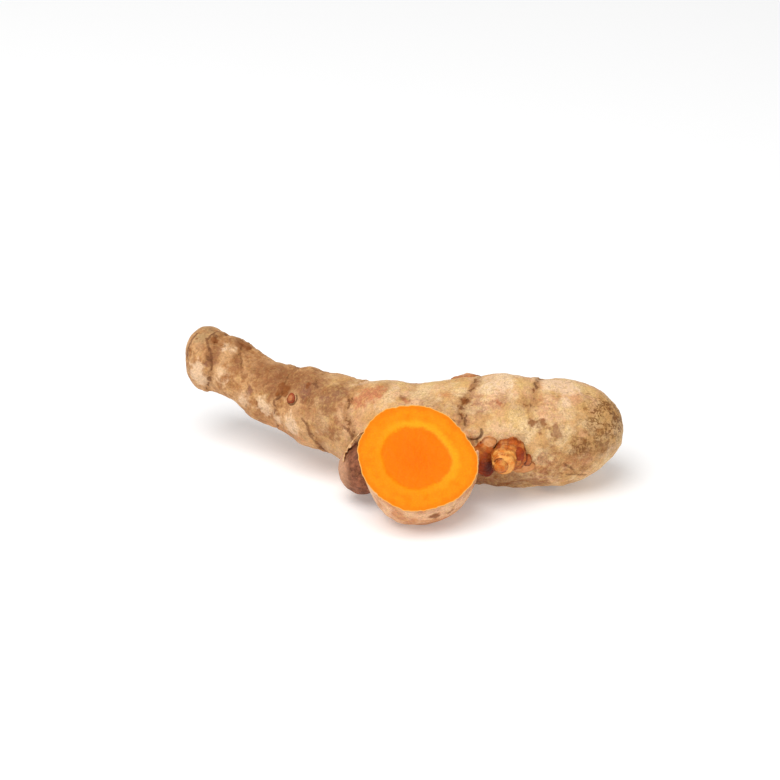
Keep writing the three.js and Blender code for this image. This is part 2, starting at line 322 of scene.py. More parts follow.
fold_way = unbent * (5 / 2.3, 1 / 5.5, 1 / 5.5) + 0.35 * ripple(places, 2.2, 9)[:, None]
fold = ripple(fold_way, 1.0, 8)
crease_way = unbent * (5 / 3.1, 1 / 6.0, 1 / 6.0) + 0.30 * ripple(places, 1.8, 10)[:, None]
crease_line = np.exp(-(ripple(crease_way, 1.0, 13) / 0.05) ** 2)
crease_line *= np.clip(ripple(places, 4.0, 14) + 0.35, 0, 1) * slim_half
smooth_side = 1 - 0.65 * np.clip((angle - 75) / 25, 0, 1) * (slim_half > 0.25)
relief = LUMP_RISE * smooth_side * lump + PEBBLE_RISE * pebble + PIMPLE_RISE * pimple
relief += slim_half * smooth_side * (WRINKLE_RISE * (wrinkle - 0.6) + FOLD_RISE * fold)
lip = np.exp(-((ring_away + 0.75) / 0.6) ** 2)
groove = np.exp(-((ring_away - 0.1) / 0.38) ** 2)
torn = np.exp(-(ring_away / 1.8) ** 2)
relief += ring_dark * (LIP_RISE * lip - GROOVE_DEPTH * groove + TORN_RISE * torn * pimple)
relief -= SCAB_DEPTH * blunt_tip * np.clip(ripple(unbent * (2.2, 1, 1), 1.25, 7) - 0.2, 0, 1)
relief *= np.where(on_knob > 0.5, 0.55, 1)
relief -= CREASE_DEPTH * crease_line * on_body

# The finger isn't quite round where it was cut: how much wider it is in mm, at angles round the cut face
# from the right over the bottom. The knife tore its thin skin a little.
RIM_ANGLES = (-180, -152, -137, -124, -105, -90, -60, -41, -25, -10, 0, 60, 120, 150, 180)
RIM_WIDER = (0.3, 0.5, 0.75, 1.1, 0.7, 0.2, 0.0, -0.25, -0.45, -0.1, 0.0, 0.0, 0.0, 0.1, 0.3)
sideways = Vector((1, 0, 0)).cross(CUT_NORMAL).normalized()
across = np.array(CUT_NORMAL.cross(sideways).normalized())
sideways = np.array(sideways)
cut_turn = np.degrees(np.arctan2((places - cut_centre) @ sideways, (places - cut_centre) @ across))
wider = np.interp(cut_turn, RIM_ANGLES, RIM_WIDER) * np.clip(1 - (below_cut / 9) ** 2, 0, 1) * on_knob
torn_rim = near_cut[:, 0] * (0.10 * ripple(places, 2.8, 15) + 0.14 * ripple(places, 0.9, 16) - 0.03)
relief += wider + torn_rim

relief *= 1 - 0.7 * levelled
corner = np.exp(-(np.linalg.norm(places - THIN_END_CORNER, axis=1) / 4.4) ** 2)
relief += CORNER_RISE * corner
thick_top = spot(along, angle, (80.6, -10), (5.5, 7.0))
relief += THICK_SWELLING * thick_top + TIP_SWELLING * np.clip((along - 94) / 8, 0, 1) * on_body

# Old scars: place, half sizes along and round, rise (sunk where under 0), and how dark the outline is.
SCARS = {
    "nub": ((72.9, 64.8), (1.75, 1.45), 0.9, 0.9),
    "eye": ((8.0, 25.0), (1.7, 0.7), -0.35, 0.7),
    "slim_edge": ((33.0, 56.0), (1.35, 1.4), 0.0, 1.2),
    "round_pit": ((70.8, 46.0), (0.8, 0.75), -0.22, 0.8),
    "left_of_pair": ((86.0, 56.0), (1.0, 1.0), -0.16, 0.3),
    "right_of_pair": ((88.3, 57.5), (1.0, 0.9), -0.16, 0.3),
}
outline = np.zeros(count)
for at, half, rise, dark in SCARS.values():
    turn = degrees_from(angle, at[1])
    right_of, below = (along - at[0]) / half[0], turn * mm_per_degree(at[0]) / half[1]
    share = np.hypot(right_of, below) * (1 + 0.12 * pebble)
    relief += rise * np.clip(1 - share**2, 0, 1) ** 0.7 * on_body
    relief -= 0.12 * np.exp(-((share - 1.08) / 0.16) ** 2) * on_body
    # The outline is darkest on its lower right, as painted shade.
    shaded_low_side = np.clip(0.7 + 0.45 * (right_of + below) / np.maximum(share, 0.1), 0, 1)
    outline = np.maximum(outline, dark * shaded_low_side * np.exp(-((share - 1.08) / 0.17) ** 2) * on_body)
places += relief[:, None] * outward
move_points(rhizome, places)


# The cut face of the finger: moist flesh round a core of a deeper orange, inside a thin rim of peel. The one
# face that the knife left is drawn inwards row by row, and its points are then roughened a little.
bpy.ops.object.mode_set(mode="EDIT")
bpy.ops.mesh.select_all(action="DESELECT")
mesh = bmesh.from_edit_mesh(rhizome.data)
mesh.faces.ensure_lookup_table()
cut = max(mesh.faces, key=lambda face: len(face.verts))
core_centre = cut_centre - 0.33 * across - 0.6 * sideways  # the core isn't quite in the middle of the face
rim_points = np.array([vert.co for vert in cut.verts]) / MM - core_centre
cut.select_set(True)
bmesh.update_edit_mesh(rhizome.data)
PEEL = 0.982  # the flesh starts here, as a share of the way out from the middle
INNER_ROWS = 42
FLESH_ROWS = [0.993, PEEL, 0.97, 0.95] + [0.95 * (1 - i / INNER_ROWS) for i in range(1, INNER_ROWS)]
size_now = 1.0
for row in FLESH_ROWS:
    share = row / size_now
    bpy.ops.mesh.extrude_region_move()
    bpy.ops.transform.resize(value=(share, share, share), center_override=CUT_CENTRE)
    size_now = row
bpy.ops.mesh.merge(type="CENTER")
bpy.ops.object.mode_set(mode="OBJECT")
added = len(rhizome.data.vertices) - count


def face_polar(offsets):
    """Angle round the cut face and distance from its middle."""
    u, v = offsets @ across, offsets @ sideways
    return np.arctan2(v, u), np.hypot(u, v)


rim_angle, rim_reach = face_polar(rim_points)
order = np.argsort(rim_angle)
flesh_places = read_points(rhizome) / MM
face_angle, face_reach = face_polar(flesh_places - core_centre)
from_core = face_reach / np.interp(face_angle, rim_angle[order], rim_reach[order], period=2 * math.pi)
in_face = np.abs((flesh_places - cut_centre) @ knife) < 0.02
in_face &= from_core < 1.001
from_core = np.where(in_face, from_core, 1.2)

CORE = 0.585  # the core ends here, as a share of the way out
CORE_SAG = 0.14  # how far in mm the core has dried in below the rest
sag = CORE_SAG * np.clip((CORE - from_core) / 0.05 + 0.5, 0, 1)
grit = 0.03 * ripple(flesh_places, 0.9, 11) + 0.04 * ripple(flesh_places, 2.6, 12)
flesh_places -= (in_face * (from_core < 0.975) * (sag + grit))[:, None] * knife
move_points(rhizome, flesh_places)


def store(piece, name, kind, values):
    """Keep values on the piece's points, for its material: one number each, or a group of three or four."""
    field = {"FLOAT": "value", "FLOAT_VECTOR": "vector", "FLOAT_COLOR": "color"}[kind]
    layer = piece.data.attributes.new(name, kind, "POINT")
    layer.data.foreach_set(field, np.ascontiguousarray(values, dtype=np.float32).ravel())


def for_all(values, fill):
    """Values of the skin's points, followed by one value for each point added in the cut face."""
    return np.concatenate([values, np.full((added,) + values.shape[1:], fill, dtype=float)])


store(rhizome, "from_core", "FLOAT", from_core)
face_turn = np.stack([np.cos(face_angle), np.sin(face_angle), 0 * face_angle], 1)
store(rhizome, "face_turn", "FLOAT_VECTOR", face_turn)


def paint(red, green, blue):
    """A colour as seen on a screen, 0 to 255, turned into the even scale that a material takes."""
    seen = (red, green, blue)
    return tuple((c / 255 / 12.92) if c < 11 else ((c / 255 + 0.055) / 1.055) ** 2.4 for c in seen) + (1.0,)


def finish(name, roughness):
    """A new material with its shader: the material, its nodes' tree and its shader's sockets."""
    material = bpy.data.materials.new(name)
    material.use_nodes = True
    tree = material.node_tree
    sockets = tree.nodes["Principled BSDF"].inputs
    sockets["Roughness"].default_value = roughness
    sockets["IOR"].default_value = 1.45
    return material, tree, sockets


def node(tree, kind, out, **given):
    """Add a node, plug or set its given sockets, and hand back one of its outputs."""
    made = tree.nodes.new("ShaderNode" + kind)
    for key, value in given.items():
        if key.startswith("_"):
            setattr(made, key[1:], value)
            continue
        by_number = key[0] == "i" and key[1:].isdigit()
        place = made.inputs[int(key[1:]) if by_number else key.replace("_", " ")]
        if isinstance(value, bpy.types.NodeSocket):
            tree.links.new(value, place)
        else:
            place.default_value = value
    return made.outputs[out]


def kept(tree, name, part="Fac"):
    """What store() kept on the points: a number as Fac, a group as Vector or Color."""
    return node(tree, "Attribute", part, _attribute_name=name)


def split(tree, name):
    """The red, green, blue and alpha numbers of a stored group of four."""
    made = tree.nodes.new("ShaderNodeAttribute")
    made.attribute_name = name
    parts = tree.nodes.new("ShaderNodeSeparateColor")
    tree.links.new(made.outputs["Color"], parts.inputs[0])
    return list(parts.outputs) + [made.outputs["Alpha"]]


def maths(tree, operation, first, second=0.0):
    """One sum on two numbers or sockets."""
    return node(tree, "Math", 0, _operation=operation, i0=first, i1=second)


def times(tree, first, second):
    """One number or socket times another."""
    return maths(tree, "MULTIPLY", first, second)


def between(tree, value, low, high):
    """0 up to low and 1 from high, even in between; falls instead where low is above high."""
    return node(tree, "MapRange", 0, _interpolation_type="SMOOTHSTEP", Value=value, From_Min=min(low, high),
                From_Max=max(low, high), To_Min=float(low > high), To_Max=float(low < high))


def mixed(tree, share, below, above, way="MIX"):
    """A colour laid over another by a share."""
    return node(tree, "Mix", 2, _data_type="RGBA", _blend_type=way, i0=share, i6=below, i7=above)


def laid(tree, colour, share, strength, shade):
    """A colour with a shade laid over it, by a share of a strength."""
    return mixed(tree, times(tree, share, strength), colour, shade)


def speckle(tree, vector, size, detail=2.0, rough=0.5, bend=0.0):
    """Random clouds of a size in mm, from about 0.25 to 0.75."""
    return node(
        tree, "TexNoise", 0, Vector=vector, Scale=1 / size, Detail=detail, Roughness=rough, Distortion=bend
    )


def places_in_mm(tree):
    """The places of the piece itself, in mm, for patterns that lie through it."""
    in_metres = node(tree, "TexCoord", "Object")
    return node(tree, "VectorMath", 0, _operation="SCALE", i0=in_metres, Scale=1 / MM)


def strengthened(tree, pattern, low, high):
    """A pattern's middle part, from 0.3 to 0.7, stretched from low to high."""
    return node(tree, "MapRange", 0, Value=pattern, From_Min=0.3, From_Max=0.7, To_Min=low, To_Max=high)


# The colours of the skin, most of which lie in it as it dried: blushes of pink, yellow and brown, a pale
# greenish thin end, dark lines along the rings and cracks, dark pits, and a scabby blunt end. Some brown spots
# and large pits are painted shade, and some pale spots on top are painted highlight. Each spot has its distance
# along the body in mm and its angle round it, then its reach in mm and its strength.
PINK = [
    (49.8, 17, 2.1, 1.5), (48.8, 25, 2.1, 1.4), (47.4, 32, 1.8, 1.0), (46.0, 35, 1.4, 0.7),
    (58.2, 22, 1.3, 0.9), (50.8, 15, 1.6, 0.7), (64, 9, 3.4, 0.3), (68.5, 20, 3.0, 0.5), (76, 32, 3.6, 0.4),
    (89.6, 30, 4.2, 0.35), (79.4, 38, 1.0, 0.9), (95.5, 104, 4.0, 0.6), (89, 108, 5.0, 0.6),
    (44, 84, 2.4, 0.4), (37, 119, 3.0, 0.5), (72, 130, 6.0, 0.5), (31, 140, 6.0, 0.5), (66, -60, 7.0, 0.6),
    (94, -60, 7.0, 0.6), (96, 20, 3.0, 0.4), (80, -5, 4.0, 0.25), (92, 93, 3.0, 0.4),
]
YELLOW = [
    (55.5, -2, 4.0, 0.6), (64, -16, 4.0, 0.6), (84.5, 12, 2.6, 0.7), (99.5, 0, 3.0, 0.9),
    (82, 51, 3.6, 0.7), (98.5, 30, 2.6, 0.6), (79, 6, 3.0, 0.3), (40.5, 17, 3.0, 0.5), (26, 75, 3.0, 0.5),
    (39.5, 87, 2.6, 0.4), (70, 2, 3.0, 0.6), (50, -70, 8.0, 0.5), (84, -110, 6.0, 0.5), (101, 50, 2.6, 0.5),
    (16, 66, 2.6, 0.3),
]
# Brown spots: partly the skin's own brown, partly painted shade under the body and beside the finger and bud,
# and painted shadow on the top of the thin half.
BROWN_AND_SHADE = [
    (12, -6, 2.6, 1.2), (13.0, 28, 1.3, 0.8), (13.8, 37, 1.3, 0.9), (15.4, 45, 1.3, 0.9),
    (17.2, 53, 1.3, 0.8), (20.5, 28, 3.6, 0.9), (25, 20, 5.0, 1.0), (31, 27, 4.5, 1.1), (27, 34, 2.6, 0.6),
    (20.9, 70, 1.4, 0.7), (36, 24, 4.5, 1.0), (42, 30, 3.6, 1.0), (43, 50, 2.4, 0.9), (26.5, 52, 2.4, 0.8),
    (96.5, 84, 2.6, 0.9), (101, 92, 2.4, 0.9), (97, 66, 2.6, 0.5), (48, 87, 2.0, 0.5), (8.4, 40, 1.6, 0.9),
    (8.8, 56, 1.8, 1.0), (104, 30, 3.0, 0.5), (24, -70, 6.0, 0.6), (90.2, 66, 1.0, 0.8),
    (44.4, 70, 1.8, 0.7), (73, 128, 6.0, 1.2), (80, 134, 5.0, 1.2), (87, 130, 4.0, 0.9),
    (77.5, 112, 3.0, 0.9), (79.8, 37, 1.8, 0.5), (85.5, 118, 4.0, 0.6), (50, 70, 2.4, 0.5),
    (68.6, 62, 2.0, 0.6), (91, 95, 3.0, 0.4), (2.4, 64, 1.4, 0.7), (88.8, 66, 1.6, 0.6),
    (91.5, 67.5, 2.2, 1.0), (57.6, 19, 1.1, 0.8), (90, 112, 5.0, 0.6), (97, 118, 4.0, 0.5),
    (84, 100, 3.0, 0.4), (73.6, 8, 1.6, 0.8), (71.6, 26, 1.8, 0.9), (37, 33, 3.0, 1.6),
    (42.3, 55, 3.0, 0.9), (44, 87, 2.6, 0.8), (26.7, 60, 2.6, 0.9), (79.2, 62, 3.0, 0.3),
    (37.2, 72, 2.6, 0.5), (81, 126, 4.0, 1.4), (35.4, 94, 2.4, 0.5),
]
# Pale spots: partly the skin's own pale patches, partly painted highlight along the top of the thick half.
PALE_AND_HIGHLIGHT = [
    (6.4, 80, 2.4, 0.9), (6.7, 100, 3.0, 1.0), (92, 2, 3.6, 1.4), (79, 10, 4.0, 1.2), (94.5, 8, 3.2, 1.0),
    (105.5, 73, 2.4, 0.6), (47, -4, 2.6, 0.6), (103, 110, 3.0, 0.7), (80, -8, 5.0, 0.8),
    (9.4, 36, 0.9, 0.8), (88.5, -6, 3.0, 0.7), (94.4, 30, 1.6, 0.7), (61, 0, 3.0, 0.4),
    (12.5, 86, 3.0, 0.5), (25.9, 90, 2.4, 1.0), (30, 98, 2.4, 0.8), (35, 95, 2.6, 0.9), (20, 98, 2.4, 0.7),
    (10.6, 24, 1.6, 0.6), (97, 14, 2.0, 0.6), (54, 6, 2.4, 0.5), (40.5, 92, 1.6, 0.4), (66, 20, 2.0, 0.4),
    (11.4, 72, 1.6, 0.4), (52.6, 38, 2.0, 0.5),
]
GREEN = [
    (4.8, 30, 2.6, 0.8), (5.0, 4, 3.0, 0.8), (6.4, 14, 2.0, 0.4), (12, 60, 3.0, 0.3), (85, 5, 1.6, 0.3),
]
MAUVE = [
    (36.5, 32, 2.8, 0.7), (41.4, 44, 2.0, 0.6), (75.5, 38, 2.0, 0.6), (43.5, 31, 2.0, 0.5),
    (41, 83, 2.0, 0.4), (21, 75, 1.5, 0.8), (91, 84, 3.0, 0.4), (8.8, 62, 1.6, 0.7), (69.5, 52, 1.6, 0.6),
    (73.6, 48, 2.0, 0.5), (5.4, -2, 2.0, 0.5),
]
# Pits: the skin's own dark pits; the large ones near 130 degrees are painted shade on the underside.
PITS_AND_SHADE = [
    (71.4, 30, 1.2, 1.0), (73, 131, 3.6, 0.65), (79.5, 134, 3.6, 0.6), (83.5, 126, 2.6, 0.4),
    (70.2, 36, 0.7, 0.8), (70.8, 46, 0.6, 0.7), (71.5, 60, 0.5, 0.6), (86.6, 18, 0.8, 0.8),
    (87.7, 6, 0.6, 0.8), (84.8, 39, 0.35, 0.8), (86.2, 56.5, 1.7, 0.95), (88.1, 57, 1.8, 1.0),
    (58, 24, 0.6, 0.7), (88.6, 64, 0.7, 0.6), (90.4, 71, 0.6, 0.6), (41.5, 75.4, 0.4, 0.8),
    (35.7, 25.5, 1.0, 1.0), (22.9, 89, 0.4, 0.8), (29.7, 44.7, 1.7, 1.5), (30.6, 52, 1.0, 1.2),
    (7.4, 24, 1.1, 0.9), (9.0, 25, 0.8, 0.8), (97, 16, 0.7, 0.8), (99.7, 8, 0.6, 0.8), (102, 11, 0.7, 0.7),
    (103.6, 27, 0.8, 0.9), (105, 45, 0.8, 1.0), (105.6, 90, 0.5, 0.8), (101.4, 67, 1.0, 1.0),
    (99.8, 45, 0.7, 0.9), (98, 77.6, 0.6, 0.8), (101.2, 58, 0.6, 0.9), (98.2, 38, 0.5, 0.8),
    (77.6, 118, 0.9, 0.8), (75.0, 112, 1.2, 0.9), (3.4, 57, 0.7, 0.9), (2.6, 66, 0.6, 0.8),
    (4.4, 34, 0.4, 0.8), (6.0, 30, 0.4, 0.7), (11.6, -6, 1.2, 0.9), (13.2, -11, 1.0, 0.8),
    (6.6, -4, 0.7, 0.9), (74.4, -2, 0.7, 0.8), (28.6, 58, 0.7, 0.8), (48.9, 86, 0.7, 0.8),
]
CRACKS = [
    [(37.5, 81), (38.8, 87), (39.6, 105), (41.3, 122), (42.4, 143)],
    [(46.5, 73), (47.4, 75), (48.5, 80), (48.6, 85)],
    [(93.7, 119), (95.8, 123), (97.8, 134)],
    [(93.2, 103), (94.4, 109), (95.3, 115)],
    [(94.1, 106), (95.0, 113)],
    [(30.0, 52), (29.6, 62), (28.6, 70), (29.4, 77)],
    [(6.6, -6), (6.6, 6), (6.2, 18), (6.1, 30), (7.0, 40), (8.4, 50), (9.0, 62)],
    [(3.4, 22), (3.0, 40), (2.8, 58), (3.0, 76)],
    [(36.4, 20), (38.4, 26)],
]
# Dark marks on the finger, each with its place and how dark it is.
KNOB_MARKS = [
    ((7.1, -28.3, 5.4), 1.3), ((7.7, -27.4, 4.7), 1.1), ((10.9, -26.0, 5.3), 0.7), ((11.6, -26.1, 5.9), 0.5),
]
KNOB_MARK_REACH = 1.15

degree_here = mm_per_degree(along)
wander = 1.1 * ripple(places, 3.4, 41) + 0.6 * ripple(places, 1.3, 42)
wander_round = 1.1 * ripple(places, 3.4, 43) + 0.6 * ripple(places, 1.3, 44)
fine_wander = 0.35 * ripple(places, 0.9, 45)
fine_wander_round = 0.35 * ripple(places, 0.9, 46)


def blotches(spots, stray=0.7):
    """The strongest of several soft spots on the body's skin, with straying, ragged shapes."""
    near = along + stray * wander + fine_wander
    turned = angle + (stray * wander_round + fine_wander_round) / degree_here
    shares = [
        strength * spot(near, turned, (s, turn), (reach, reach)) for s, turn, reach, strength in spots
    ]
    return np.max(shares, axis=0) * on_body


def line_distance(lines):
    """Distance in mm from broken lines that are drawn on the body's skin."""
    least = np.full(count, 9.0)
    for points in lines:
        for (s0, turn0), (s1, turn1) in zip(points, points[1:]):
            reach = mm_per_degree((s0 + s1) / 2)
            here = np.stack([along - s0, degrees_from(angle, turn0) * reach], 1)
            run = np.array((s1 - s0, (turn1 - turn0) * reach))
            share = np.clip(here @ run / (run @ run), 0, 1)
            least = np.minimum(least, np.linalg.norm(here - share[:, None] * run, axis=1))
    return least


unseen = np.clip((np.abs(angle - 45) - 80) / 40, 0, 1)
pink_all = np.maximum(blotches(PINK), 0.7 * unseen * np.clip(ripple(places, 7.0, 21), 0, 1))
yellow_all = np.maximum(blotches(YELLOW), 0.7 * unseen * np.clip(ripple(places, 7.0, 22), 0, 1))
brown_and_shade_all = np.maximum(blotches(BROWN_AND_SHADE), 0.8 * unseen * np.clip(ripple(places, 6.0, 23), 0, 1))
scab_start = np.interp(angle, (-20, 40), (101.5, 95.5))
scab = np.clip((along - scab_start) / 5, 0, 1) * np.clip(1.4 - np.abs(angle - 42) / 60, 0, 1)
scab = np.maximum(scab, spot(along, angle, (96.5, 86), (3.4, 3.0)))
knob_marks = [
    dark * np.exp(-(np.linalg.norm(places - at, axis=1) / KNOB_MARK_REACH) ** 2) for at, dark in KNOB_MARKS
]
pits_and_shade_all = np.maximum(blotches(PITS_AND_SHADE, 0.15), np.max(knob_marks, axis=0) * on_knob)
# The lobe's side that faces left, towards the lamp, for painted light on it.
lamp_side_light = np.clip((-outward[:, 0] - 0.55) / 0.3, 0, 1)
pale_and_highlight_all = np.maximum(blotches(PALE_AND_HIGHLIGHT), 0.5 * spot(along, angle, (72.8, 64), (1.4, 1.1)))
tones = np.stack([pink_all, yellow_all, brown_and_shade_all, pale_and_highlight_all], 1)
tints = np.stack([blotches(GREEN), blotches(MAUVE), pits_and_shade_all, scab * on_body], 1)
store(rhizome, "tones", "FLOAT_COLOR", for_all(tones, 0.0))
store(rhizome, "tints", "FLOAT_COLOR", for_all(tints, 0.0))
store(rhizome, "limbs", "FLOAT_COLOR", for_all(np.stack([on_knob, on_lobe, ring_dark, slim_half], 1), 0.0))
store(rhizome, "ring_away", "FLOAT", for_all(ring_away + 6 * (1 - on_body), 9.0))
store(rhizome, "crack_away", "FLOAT", for_all(line_distance(CRACKS) + 6 * (1 - on_body), 9.0))
store(rhizome, "outline", "FLOAT", for_all(outline, 0.0))
store(rhizome, "lamp_side_light", "FLOAT", for_all(lamp_side_light, 0.0))
# How sunk each point is in a fold or lump, for painted shade in the hollows and painted highlight on the
# ridges.
hollow = slim_half * np.clip(-0.9 * fold - 0.35 * lump, -1, 1)
hollow = hollow + (1 - slim_half) * np.clip(-0.8 * lump, -1, 1)
store(rhizome, "hollow", "FLOAT", for_all(hollow * on_body, 0.0))
store(rhizome, "crease_line", "FLOAT", for_all(crease_line * on_body, 0.0))
store(rhizome, "unbent", "FLOAT_VECTOR", for_all(unbent, 0.0))

# The skin's colours: those of its parts, and those of what is laid over them.
TAN, CREAM, ROSY = paint(213, 163, 105), paint(238, 202, 152), paint(224, 164, 128)
SLIM_BROWN, SLIM_TAN = paint(174, 118, 70), paint(212, 160, 108)
HOLLOW_SHADE_BROWN, RIDGE_HIGHLIGHT_CREAM = paint(150, 94, 56), paint(230, 186, 138)
STRAW, COPPER, SKIN_AND_SHADE_BROWN = paint(228, 188, 118), paint(192, 108, 66), paint(140, 84, 46)
IVORY_AND_HIGHLIGHT, OLIVE, PLUM_BROWN = paint(250, 216, 180), paint(172, 142, 100), paint(138, 88, 68)
KNOB_CREAM, KNOB_TAN, KNOB_ROSE = paint(237, 188, 146), paint(214, 145, 97), paint(206, 146, 120)
LOBE_DARK, LOBE_BROWN, LOBE_LIT_TAN = paint(104, 60, 42), paint(158, 100, 72), paint(206, 154, 118)
NETWORK_BROWN, SPECK_BROWN, GOLD = paint(150, 98, 58), paint(140, 92, 54), paint(228, 190, 116)
CREASE_BROWN, RING_FOLD_SHADE_BROWN, RING_BROWN = paint(112, 70, 40), paint(160, 108, 62), paint(112, 66, 34)
CRACK_BROWN, PIT_AND_SHADE_BROWN, SCAR_BROWN = paint(112, 66, 36), paint(130, 68, 20), paint(96, 56, 30)
SCAB_TAN, CURL_BROWN = paint(190, 138, 78), paint(118, 70, 28)

skin, tree, sockets = finish("turmeric_skin", 0.6)
mm = places_in_mm(tree)
along_body = kept(tree, "unbent", "Vector")
pink, yellow, brown_and_shade, pale_and_highlight = split(tree, "tones")
green, mauve, pits_and_shade, scabs = split(tree, "tints")
knob_share, lobe_share, ring_strength, slim_share = split(tree, "limbs")
clouds = speckle(tree, mm, 4.2, 3.0)
small_clouds = speckle(tree, mm, 1.5, 3.0, 0.6)
grains = speckle(tree, mm, 0.42, 2.0, 0.6)
fibres = speckle(tree, along_body, 0.55, 3.0, 0.6)
ragged = maths(tree, "SUBTRACT", small_clouds, 0.5)


def patch(share, low=0.25, high=0.75):
    """A soft spot's share with a cloudy, ragged edge."""
    rough_share = maths(tree, "ADD", share, times(tree, ragged, 1.1))
    return times(tree, between(tree, rough_share, low, high), 0.9)


# The thick and thin halves' plain skin, painted shade in hollows, painted highlight on ridges, and spots on it.
colour = mixed(tree, between(tree, clouds, 0.40, 0.60), TAN, CREAM)
blush = between(tree, speckle(tree, mm, 6.5, 3.0, 0.6), 0.50, 0.62)
colour = laid(tree, colour, blush, 0.5, ROSY)
slim_brown = times(tree, maths(tree, "SUBTRACT", slim_share, 0.25), 1.3)
slim_colour = mixed(tree, between(tree, small_clouds, 0.40, 0.60), SLIM_BROWN, SLIM_TAN)
colour = mixed(tree, slim_brown, colour, slim_colour)
# Hollows get painted shade and ridges get painted highlight.
ragged_hollow = maths(tree, "ADD", kept(tree, "hollow"), times(tree, ragged, 0.8))
painted_shade_share = between(tree, ragged_hollow, 0.0, 0.6)
painted_highlight_share = between(tree, ragged_hollow, 0.0, -0.6)
colour = laid(tree, colour, painted_shade_share, 0.40, HOLLOW_SHADE_BROWN)
colour = laid(tree, colour, painted_highlight_share, 0.34, RIDGE_HIGHLIGHT_CREAM)
colour = laid(tree, colour, patch(yellow), 0.7, STRAW)
colour = laid(tree, colour, patch(pink, 0.2, 0.85), 0.85, COPPER)
colour = laid(tree, colour, patch(brown_and_shade), 0.8, SKIN_AND_SHADE_BROWN)
colour = laid(tree, colour, patch(pale_and_highlight), 0.7, IVORY_AND_HIGHLIGHT)
colour = laid(tree, colour, patch(green), 0.65, OLIVE)
colour = laid(tree, colour, patch(mauve), 0.75, PLUM_BROWN)

# The smoother, rosier skin of the finger, and the lobe's dark skin, with painted light on its side towards the
# lamp.
knob_colour = mixed(tree, between(tree, clouds, 0.4, 0.6), KNOB_CREAM, KNOB_TAN)
knob_colour = laid(tree, knob_colour, between(tree, small_clouds, 0.50, 0.60), 0.4, KNOB_ROSE)
colour = mixed(tree, knob_share, colour, knob_colour)
lobe_streaks = speckle(tree, along_body, 1.4, 3.0, 0.7)
lobe_colour = mixed(tree, between(tree, lobe_streaks, 0.36, 0.64), LOBE_DARK, LOBE_BROWN)
lobe_colour = laid(tree, lobe_colour, kept(tree, "lamp_side_light"), 0.9, LOBE_LIT_TAN)
colour = mixed(tree, lobe_share, colour, lobe_colour)

# Fine marks all over: a net of cracks, brown specks, golden grains, and creases along the body.
network = maths(tree, "ABSOLUTE", maths(tree, "SUBTRACT", speckle(tree, mm, 1.0, 3.0, 0.7, 0.4), 0.5))
network = times(tree, between(tree, network, 0.05, 0.0), between(tree, clouds, 0.35, 0.65))
colour = laid(tree, colour, network, 0.4, NETWORK_BROWN)
specks = between(tree, speckle(tree, mm, 0.7, 2.0, 0.65), 0.57, 0.68)
speck_strength = maths(tree, "SUBTRACT", 0.42, times(tree, slim_share, 0.25))
speck_share = times(tree, specks, speck_strength)
colour = mixed(tree, speck_share, colour, SPECK_BROWN)
golden = between(tree, speckle(tree, mm, 0.9, 3.0, 0.65), 0.50, 0.62)
off_lobe = maths(tree, "SUBTRACT", 1.0, lobe_share)
plain = times(tree, off_lobe, maths(tree, "SUBTRACT", 1.6, slim_share))
golden = times(tree, golden, plain)
colour = laid(tree, colour, golden, 0.25, GOLD)
crease_share = times(tree, kept(tree, "crease_line"), between(tree, small_clouds, 0.35, 0.6))
colour = laid(tree, colour, crease_share, 0.6, CREASE_BROWN)

# Rings, cracks, pits, the outlines of old scars, and the scabs with their curled edges.
ring_wobble = times(tree, maths(tree, "SUBTRACT", speckle(tree, mm, 0.9, 3.0, 0.7), 0.5), 1.6)
ring_offset = maths(tree, "ABSOLUTE", maths(tree, "ADD", kept(tree, "ring_away"), ring_wobble))
ring_width = times(tree, ring_strength, between(tree, speckle(tree, mm, 1.7, 2.0), 0.42, 0.66))
# A soft brown band along each ring: partly its own browner skin, partly painted shade of the ring's fold.
ring_fold_shade = times(tree, between(tree, ring_offset, 1.6, 0.1), ring_strength)
colour = laid(tree, colour, ring_fold_shade, 0.6, RING_FOLD_SHADE_BROWN)
ring_gap = maths(tree, "SUBTRACT", ring_offset, times(tree, ring_width, 0.5))
ring_core = between(tree, ring_gap, 0.22, -0.10)
ring_line = times(tree, ring_core, between(tree, ring_width, 0.05, 0.35))
colour = laid(tree, colour, ring_line, 0.7, RING_BROWN)
crack_offset = maths(tree, "ADD", kept(tree, "crack_away"), times(tree, ring_wobble, 0.35))
crack_line = between(tree, crack_offset, 0.46, 0.08)
crack_share = times(tree, crack_line, between(tree, small_clouds, 0.26, 0.42))
colour = laid(tree, colour, crack_share, 0.75, CRACK_BROWN)
# Dark pits, with painted shade on the underside where they are large.
pit_and_shade_share = between(tree, maths(tree, "ADD", pits_and_shade, times(tree, ragged, 1.6)), 0.30, 0.85)
colour = laid(tree, colour, pit_and_shade_share, 0.8, PIT_AND_SHADE_BROWN)
# The dark outlines of old scars, darkest on their lower right as painted shade.
ragged_outline = maths(tree, "ADD", kept(tree, "outline"), times(tree, ragged, 0.8))
dark_edge = between(tree, ragged_outline, 0.25, 0.75)
colour = laid(tree, colour, dark_edge, 0.8, SCAR_BROWN)
curls = maths(tree, "ABSOLUTE", maths(tree, "SUBTRACT", speckle(tree, mm, 1.8, 2.0, 0.6, 1.6), 0.5))
curl_line = between(tree, curls, 0.115, 0.02)
curl_share = times(tree, curl_line, between(tree, small_clouds, 0.36, 0.54))
colour = laid(tree, colour, scabs, 0.45, SCAB_TAN)
colour = laid(tree, colour, times(tree, curl_share, scabs), 0.85, CURL_BROWN)

